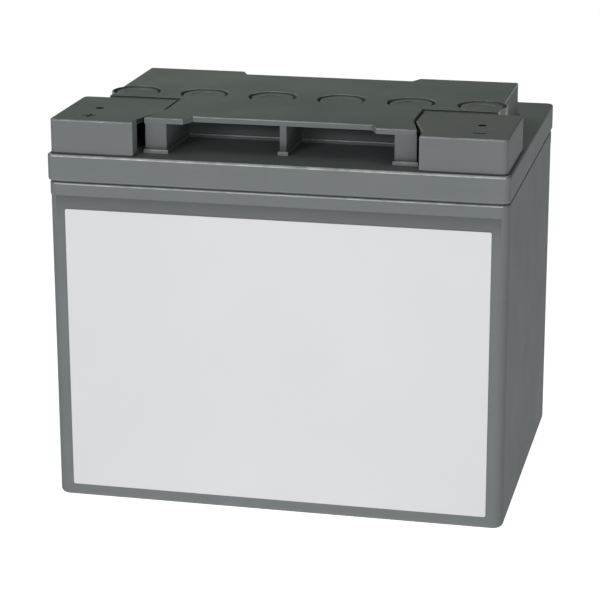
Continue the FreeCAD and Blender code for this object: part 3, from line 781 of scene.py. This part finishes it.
@dataclass
class TerminalCap:
    """Cover over one terminal, with its polarity printed on the top and a probe hole in a thinned web.

    Its edges stay sharp at the foot. The seam beside its neck and the probe hole get painted shade.
    """

    polarity: Polarity
    sign_place: tuple[float, float]
    sign_length: float = 5.6
    sign_width: float = 1.2
    sign_height: float = 0.04
    web_radius: float = 3.6
    web_facets: int = 48
    web_thickness: float = 0.7
    web_depth: float = 4.0
    edge: float = 0.2
    foot: Zone = Zone.between(155.0, 156.0)
    neck: Zone = Zone((54.0, -68.0, 168.0), (66.0, -23.6, 170.0))
    neck_painted_shade: float = 0.5
    hole_painted_shade: float = 0.95

    def hole_place(self) -> tuple[float, float]:
        """Middle of the probe hole in millimetres, which is over the terminal's middle."""
        terminal = sum(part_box(f"{self.polarity.value}_terminal"), Vector()) / 2
        return terminal.x / MM, terminal.y / MM

    def sign(self) -> Outline:
        """Draws the polarity sign.

        Returns:
            Its corners round its middle, in millimetres.
        """
        half, thin = self.sign_length / 2, self.sign_width / 2
        if self.polarity is Polarity.POSITIVE:
            return [(half, -thin), (half, thin), (thin, thin), (thin, half),
                    (-thin, half), (-thin, thin), (-half, thin), (-half, -thin),
                    (-thin, -thin), (-thin, -half), (thin, -half), (thin, -thin)]
        return [(half, -thin), (half, thin), (-half, thin), (-half, -thin)]

    def web(self) -> Outline:
        """Corners of the thinned web round its middle, in millimetres."""
        turns = [2 * math.pi * i / self.web_facets for i in range(self.web_facets)]
        return [(self.web_radius * math.cos(turn), self.web_radius * math.sin(turn)) for turn in turns]

    @staticmethod
    def prism(name: str, place: tuple[float, float], corners: Outline, low: float,
              high: float) -> bpy.types.Object:
        """Makes an upright prism.

        Args:
            name: Name of the prism.
            place: Its middle in millimetres.
            corners: Corners of its outline round the middle, anticlockwise, in millimetres.
            low: Height of its underside in metres.
            high: Height of its top in metres.

        Returns:
            The prism as an object.
        """
        points = [((place[0] + x) * MM, (place[1] + y) * MM, height)
                  for height in (low, high) for x, y in corners]
        count = len(corners)
        foot = list(range(count))
        top = [count + i for i in foot]
        sides = [(i, j, count + j, count + i) for i, j in zip(foot, foot[1:] + foot[:1])]
        mesh = bpy.data.meshes.new(name)
        mesh.from_pydata(points, [], [foot[::-1], top, *sides])
        return new_piece(name, mesh)

    def thin_out(self, piece: bpy.types.Object, top: float) -> None:
        """Cuts the cap away under the probe hole, which leaves a thin web round the hole.

        Args:
            piece: The cap.
            top: Height of its top in metres.
        """
        high = top - self.web_thickness * MM
        low = high - self.web_depth * MM
        cutter = self.prism(f"web_cutter_{self.polarity.value}", self.hole_place(), self.web(), low, high)
        cut = piece.modifiers.new("thinned web", "BOOLEAN")
        cut.operation = "DIFFERENCE"
        cut.object = cutter
        cut.solver = "EXACT"
        settle(piece)
        bpy.data.objects.remove(cutter)

    def paint_seam_shade(self, piece: bpy.types.Object, top: float) -> None:
        """Paints shade into the seam beside the neck and into the probe hole.

        Args:
            piece: The cap.
            top: Height of its top in metres.
        """
        for zone in self.neck.both_sides():
            zone.mark(piece, PAINTED_SHADE, self.neck_painted_shade)
        across, along = self.hole_place()
        reach, level = self.web_radius, top / MM
        hole = Zone((across - reach, along - reach, level - self.web_thickness * 2),
                    (across + reach, along + reach, level + self.sign_height))
        hole.mark(piece, PAINTED_SHADE, self.hole_painted_shade)

    def build(self) -> None:
        """Dresses the cap, thins it round the probe hole and prints the sign on it."""
        word = self.polarity.value
        node = f"terminal_cover_{word}"
        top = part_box(node)[1].z
        piece = welded_copy(node, f"terminal_cap_{word}")
        self.thin_out(piece, top)
        soften_edges(piece, self.edge, COVER_PLASTIC.material(), [self.foot])
        self.paint_seam_shade(piece, top)
        hand_in(piece, [node])
        ink_top = top + self.sign_height * MM
        sign = self.prism(f"printed_sign_{word}", self.sign_place, self.sign(), top, ink_top)
        sign.data.materials.append(MARK_INK.material())
        hand_in(sign)


@dataclass
class FrontLabel:
    """Blank sheet on the front wall."""

    edge: float = 0.08

    def build(self) -> None:
        """Dresses the label in film."""
        piece = welded_copy("front_label", "blank_label")
        soften_edges(piece, self.edge, LABEL_FILM.material())
        hand_in(piece, ["front_label"])


@dataclass
class Insides:
    """What is sealed in the block: valves, terminals, gaskets, plates, separators and welds."""

    finishes: dict[str, Finish] = field(default_factory=lambda: {
        "relief_valve": VALVE_RUBBER, "positive_gasket": VALVE_RUBBER, "negative_gasket": VALVE_RUBBER,
        "positive_terminal": TERMINAL_BRASS, "negative_terminal": TERMINAL_BRASS,
        "positive_plates": POSITIVE_LEAD, "negative_plates": NEGATIVE_LEAD,
        "separators": GLASS_MAT, "intercell_weld": NEGATIVE_LEAD})

    def build(self) -> None:
        """Gives each carried-over CAD node its finish."""
        for name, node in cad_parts.items():
            for start, finish in self.finishes.items():
                if name.startswith(start):
                    node.data.materials.clear()
                    node.data.materials.append(finish.material())
                    LOG.info("node %s: %s", name, finish.name)


# Studio


@dataclass(frozen=True)
class Lamp:
    """A soft rectangular lamp aimed at the block; azimuth 0 is in front and 90 to the right."""

    name: str
    azimuth: float
    elevation: float
    distance: float
    size: tuple[float, float]
    power: float
    colour: str = "#FFFFFF"

    def build(self, target: Vector) -> None:
        """Hangs the lamp.

        Args:
            target: Point that the lamp faces.
        """
        turn, tilt = math.radians(self.azimuth), math.radians(self.elevation)
        away = Vector((math.sin(turn) * math.cos(tilt), -math.cos(turn) * math.cos(tilt), math.sin(tilt)))
        light = bpy.data.lights.new(self.name, "AREA")
        light.shape = "RECTANGLE"
        light.size, light.size_y = self.size
        light.energy = self.power
        light.color = linear(self.colour)[:3]
        lamp = bpy.data.objects.new(self.name, light)
        lamp.visible_camera = False
        lamp.location = target + away * self.distance
        lamp.rotation_euler = away.to_track_quat("Z", "Y").to_euler()
        bpy.context.scene.collection.objects.link(lamp)


@dataclass
class Studio:
    """Pale floor, white surroundings, soft lamps and the camera of the photograph."""

    floor_half: float = 4.0
    floor_colour: str = "#E4E4E2"
    floor_glow: float = 0.745
    floor_seen: float = 0.97
    surroundings_colour: str = "#FFFFFF"
    surroundings_glow: float = 0.01
    surroundings_seen: float = 1.0
    focal_pixels: float = 2255.0
    sensor_mm: float = 36.0
    clip: tuple[float, float] = (0.01, 100.0)
    camera_at: tuple[float, float, float] = (213.2, -959.0, 371.6)
    yaw: float = 12.8555
    pitch: float = 16.829
    roll: float = -0.149
    lamps: tuple[Lamp, ...] = (
        Lamp("key softbox", -20.0, 19.0, 1.4, (0.5, 0.2), 4.05),
        Lamp("front softbox", 0.0, 10.0, 1.4, (0.5, 0.25), 0.25),
        Lamp("right front softbox", 30.0, 15.0, 1.4, (0.5, 0.3), 1.5),
        Lamp("low front strip", 4.0, -5.0, 0.5, (0.7, 0.06), 0.7),
        Lamp("overhead softbox", 0.0, 85.0, 1.4, (0.8, 0.8), 1.6, "#EBFFE2"),
        Lamp("back left strip", -156.0, 46.0, 0.3, (0.3, 0.1), 0.14, "#E6FFDC"),
    )

    def floor(self) -> None:
        """Lays the floor, a sheet of paper that glows evenly and shows the block's shadow."""
        work = bmesh.new()
        bmesh.ops.create_grid(work, x_segments=1, y_segments=1, size=self.floor_half)
        mesh = bpy.data.meshes.new("studio_floor")
        work.to_mesh(mesh)
        work.free()
        # Plain pale ground without grain or shine
        paper = bpy.data.materials.new("white paper sweep")
        paper.use_nodes = True
        tree = paper.node_tree
        tree.nodes.clear()
        lit = add_node(tree, "ShaderNodeBsdfDiffuse", inputs={"Color": linear(self.floor_colour)})
        glow = add_node(tree, "ShaderNodeEmission", inputs={
            "Strength": self.where_seen(tree, self.floor_seen, self.floor_glow)})
        both = add_node(tree, "ShaderNodeAddShader", inputs={
            0: lit.outputs["BSDF"], 1: glow.outputs["Emission"]})
        add_node(tree, "ShaderNodeOutputMaterial", inputs={"Surface": both.outputs["Shader"]})
        mesh.materials.append(paper)
        new_piece("studio_floor", mesh)

    @staticmethod
    def where_seen(tree: bpy.types.NodeTree, seen: float, otherwise: float) -> bpy.types.NodeSocket:
        """Adds nodes that tell what is seen, straight or in a reflection, from what lights the block.

        Args:
            tree: Node tree that gets the nodes.
            seen: Number for rays from the camera, reflections and what shows through glass.
            otherwise: Number for all other rays.

        Returns:
            The socket with that number.
        """
        rays = add_node(tree, "ShaderNodeLightPath").outputs
        shown = rays["Is Camera Ray"]
        for kind in ("Is Glossy Ray", "Is Transmission Ray"):
            shown = add_node(tree, "ShaderNodeMath", {"operation": "MAXIMUM"}, {
                0: shown, 1: rays[kind]}).outputs["Value"]
        return add_node(tree, "ShaderNodeMapRange", inputs={
            "Value": shown, "To Min": otherwise, "To Max": seen}).outputs["Result"]

    def surroundings(self) -> None:
        """Makes the world white where it is seen and almost dark as a light."""
        world = bpy.data.worlds.new("white studio")
        world.use_nodes = True
        tree = world.node_tree
        tree.nodes.clear()
        strength = self.where_seen(tree, self.surroundings_seen, self.surroundings_glow)
        sky = add_node(tree, "ShaderNodeBackground", inputs={
            "Color": linear(self.surroundings_colour), "Strength": strength})
        add_node(tree, "ShaderNodeOutputWorld", inputs={"Surface": sky.outputs["Background"]})
        bpy.context.scene.world = world

    def camera(self) -> None:
        """Sets the camera where the photograph was taken from."""
        # A camera that isn't turned looks straight down, and this much tilt makes it level
        level = 90
        lens = bpy.data.cameras.new("photograph view")
        lens.sensor_width = self.sensor_mm
        lens.lens = self.focal_pixels / PHOTO_PIXELS * self.sensor_mm
        lens.clip_start, lens.clip_end = self.clip
        camera = bpy.data.objects.new("photograph view", lens)
        turn = Matrix.Rotation(math.radians(self.yaw), 4, "Z")
        tilt = Matrix.Rotation(math.radians(level - self.pitch), 4, "X")
        lean = Matrix.Rotation(math.radians(self.roll), 4, "Z")
        camera.matrix_world = Matrix.Translation(Vector(self.camera_at) * MM) @ turn @ tilt @ lean
        bpy.context.scene.collection.objects.link(camera)
        bpy.context.scene.camera = camera

    def build(self) -> None:
        """Sets up the whole studio."""
        self.floor()
        self.surroundings()
        target = (CAD_BOX[0] + CAD_BOX[1]) / 2
        for lamp in self.lamps:
            lamp.build(target)
        self.camera()
        bpy.context.scene.view_settings.view_transform = "Standard"


def main() -> None:
    """Builds the block's sub-assemblies, then the studio."""
    logging.basicConfig(level=logging.INFO, format="%(name)s: %(message)s")
    Case().build()
    LiftingBar().build()
    TerminalCap(Polarity.POSITIVE, sign_place=(-82.8, -63.1), neck_painted_shade=0.85).build()
    TerminalCap(Polarity.NEGATIVE, sign_place=(84.2, -62.9)).build()
    FrontLabel().build()
    Insides().build()
    Studio().build()


if __name__ == "__main__":
    main()
